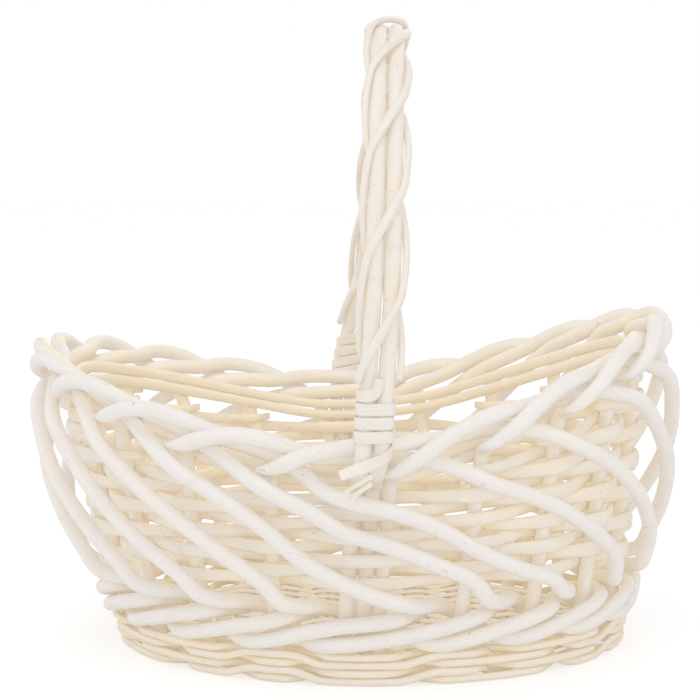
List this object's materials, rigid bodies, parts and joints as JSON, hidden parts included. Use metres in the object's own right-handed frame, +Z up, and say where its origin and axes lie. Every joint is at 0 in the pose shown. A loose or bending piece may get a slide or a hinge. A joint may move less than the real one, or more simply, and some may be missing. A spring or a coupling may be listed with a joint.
{
  "type": "foraging basket",
  "caption": "Oval foraging basket of peeled willow with a boat-shaped rolled rim, slanting rods over a woven side, a plaited foot and a fixed arched handle.",
  "frame": {"origin": "on the ground, at the middle of the basket's length and width", "axes": "+Z up, +X along the oval's long side towards the higher end, +Y across the basket under the handle's arch towards the far side"},
  "size_m": [0.3681, 0.3047, 0.3503],
  "materials": {
    "peeled_willow_rod": "matt peeled willow",
    "willow_weaver": "matt peeled willow",
    "fine_foot_willow": "matt peeled willow",
    "handle_willow": "satin peeled willow",
    "willow_skein": "matt split willow"
  },
  "bodies": {
    "root": {"stake_rod_01": "peeled_willow_rod", "stake_rod_02": "peeled_willow_rod", "stake_rod_03": "peeled_willow_rod", "stake_rod_04": "peeled_willow_rod", "stake_rod_05": "peeled_willow_rod", "stake_rod_06": "peeled_willow_rod", "stake_rod_07": "peeled_willow_rod", "stake_rod_08": "peeled_willow_rod", "stake_rod_09": "peeled_willow_rod", "stake_rod_10": "peeled_willow_rod", "stake_rod_11": "peeled_willow_rod", "stake_rod_12": "peeled_willow_rod", "stake_rod_13": "peeled_willow_rod", "stake_rod_14": "peeled_willow_rod", "stake_rod_15": "peeled_willow_rod", "stake_rod_16": "peeled_willow_rod", "stake_rod_17": "peeled_willow_rod", "stake_rod_18": "peeled_willow_rod", "stake_rod_19": "peeled_willow_rod", "stake_rod_20": "peeled_willow_rod", "side_weaver_1": "willow_weaver", "side_weaver_2": "willow_weaver", "side_weaver_3": "willow_weaver", "side_weaver_4": "willow_weaver", "side_weaver_5": "willow_weaver", "side_weaver_6": "willow_weaver", "side_weaver_7": "willow_weaver", "side_weaver_8": "willow_weaver", "right_short_weaver_1": "willow_weaver", "right_short_weaver_2": "willow_weaver", "right_short_weaver_3": "willow_weaver", "right_short_weaver_4": "willow_weaver", "left_short_weaver_1": "willow_weaver", "left_short_weaver_2": "willow_weaver", "left_short_weaver_3": "willow_weaver", "top_weaver_1": "willow_weaver", "top_weaver_2": "willow_weaver", "foot_weaver_1": "fine_foot_willow", "foot_weaver_2": "fine_foot_willow", "foot_weaver_3": "fine_foot_willow", "foot_weaver_4": "fine_foot_willow", "base_panel": "fine_foot_willow", "handle_wrap_1": "fine_foot_willow", "handle_wrap_2": "fine_foot_willow", "handle_wrap_3": "fine_foot_willow", "handle_bow_left": "handle_willow", "handle_bow_right": "handle_willow", "near_binding": "willow_skein", "far_binding": "willow_skein"}
  },
  "joints": []
}
